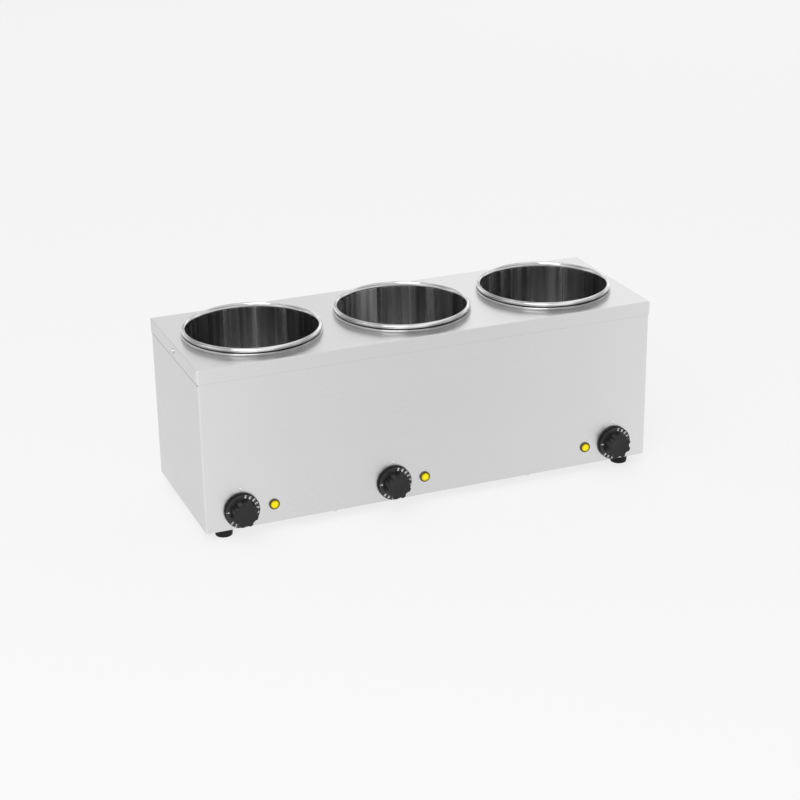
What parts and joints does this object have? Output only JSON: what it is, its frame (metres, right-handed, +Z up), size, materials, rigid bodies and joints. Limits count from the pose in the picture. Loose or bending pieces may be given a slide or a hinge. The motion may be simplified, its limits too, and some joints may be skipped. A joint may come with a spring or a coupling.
{
  "type": "soup warmer",
  "caption": "Countertop soup warmer: a stainless case on rubber feet with a row of round wells, lift-out pots, front dials and indicator lamps.",
  "frame": {"origin": "on the floor under the feet, at the centre of the outer box in plan: midway between the dials' faces and the cable gland's end", "axes": "+X along the case to the right seen from the front, the dials face -Y, +Z up out of the pots"},
  "size_m": [0.6844, 0.2726, 0.2651],
  "materials": {
    "base_steel": "plain mill-finish stainless sheet",
    "screw_steel": "stainless, cold formed",
    "clamp_steel": "plain sheet steel",
    "capillary_copper": "drawn copper",
    "case_steel": "fine brushed stainless sheet",
    "switch_plastic": "moulded thermoset",
    "dial_plastic": "moulded, satin",
    "brass_parts": "turned",
    "foot_rubber": "moulded",
    "gland_plastic": "moulded nylon",
    "seal_rubber": "moulded",
    "heater_aluminium": "as cast",
    "nut_steel": "zinc plated",
    "pin_steel": "polished dome",
    "lamp_bezel": "moulded, gloss",
    "lamp_lens": "clear moulded, glowing",
    "pot_steel": "polished stainless",
    "rear_steel": "fine brushed stainless sheet",
    "terminal_plastic": "moulded",
    "shaft_steel": "turned",
    "well_steel": "deep-drawn stainless, polished collar"
  },
  "bodies": {
    "case": {"base_plate": "base_steel", "base_screws": "screw_steel", "bulb_clips": "clamp_steel", "capillary_bulb_1": "capillary_copper", "capillary_bulb_2": "capillary_copper", "capillary_bulb_3": "capillary_copper", "case_wrap": "case_steel", "cover_screws": "screw_steel", "cutout_1": "switch_plastic", "cutout_2": "switch_plastic", "cutout_3": "switch_plastic", "earth_stud": "brass_parts", "foot_front_left": "foot_rubber", "foot_front_right": "foot_rubber", "foot_nuts": "screw_steel", "foot_rear_left": "foot_rubber", "foot_rear_right": "foot_rubber", "foot_screws": "screw_steel", "gland_body": "gland_plastic", "gland_cap": "gland_plastic", "gland_nut": "gland_plastic", "gland_seal": "seal_rubber", "heater_1": "heater_aluminium", "heater_2": "heater_aluminium", "heater_3": "heater_aluminium", "heater_clamp_1": "clamp_steel", "heater_clamp_2": "clamp_steel", "heater_clamp_3": "clamp_steel", "heater_nuts": "nut_steel", "index_pins": "pin_steel", "lamp_bezel_1": "lamp_bezel", "lamp_bezel_2": "lamp_bezel", "lamp_bezel_3": "lamp_bezel", "lamp_lens_1": "lamp_lens", "lamp_lens_2": "lamp_lens", "lamp_lens_3": "lamp_lens", "lamp_nuts": "switch_plastic", "rear_panel": "rear_steel", "rear_screws": "screw_steel", "terminal_block": "terminal_plastic", "thermostat_1": "switch_plastic", "thermostat_2": "switch_plastic", "thermostat_3": "switch_plastic", "thermostat_screws": "screw_steel", "top_cover": "case_steel", "well_1": "well_steel", "well_2": "well_steel", "well_3": "well_steel"},
    "dial_group_1": {"dial_1": "dial_plastic", "thermostat_shaft_1": "shaft_steel"},
    "lift_out_pot_1": {"pot_1": "pot_steel"},
    "dial_group_2": {"dial_2": "dial_plastic", "thermostat_shaft_2": "shaft_steel"},
    "lift_out_pot_2": {"pot_2": "pot_steel"},
    "dial_group_3": {"dial_3": "dial_plastic", "thermostat_shaft_3": "shaft_steel"},
    "lift_out_pot_3": {"pot_3": "pot_steel"}
  },
  "joints": [
    {"name": "dial_1_turn", "type": "hinge", "parent": "case", "child": "dial_group_1", "pos_m": [-0.287, -0.1153, 0.042], "axis": [0, -1, 0], "range_deg": [0, 274]},
    {"name": "pot_1_lift", "type": "slide", "parent": "case", "child": "lift_out_pot_1", "axis": [0, 0, 1], "range_m": [0, 0.2]},
    {"name": "dial_2_turn", "type": "hinge", "parent": "case", "child": "dial_group_2", "pos_m": [-0.062, -0.1153, 0.042], "axis": [0, -1, 0], "range_deg": [0, 274]},
    {"name": "pot_2_lift", "type": "slide", "parent": "case", "child": "lift_out_pot_2", "axis": [0, 0, 1], "range_m": [0, 0.2]},
    {"name": "dial_3_turn", "type": "hinge", "parent": "case", "child": "dial_group_3", "pos_m": [0.287, -0.1153, 0.042], "axis": [0, -1, 0], "range_deg": [0, 274]},
    {"name": "pot_3_lift", "type": "slide", "parent": "case", "child": "lift_out_pot_3", "axis": [0, 0, 1], "range_m": [0, 0.2]}
  ]
}
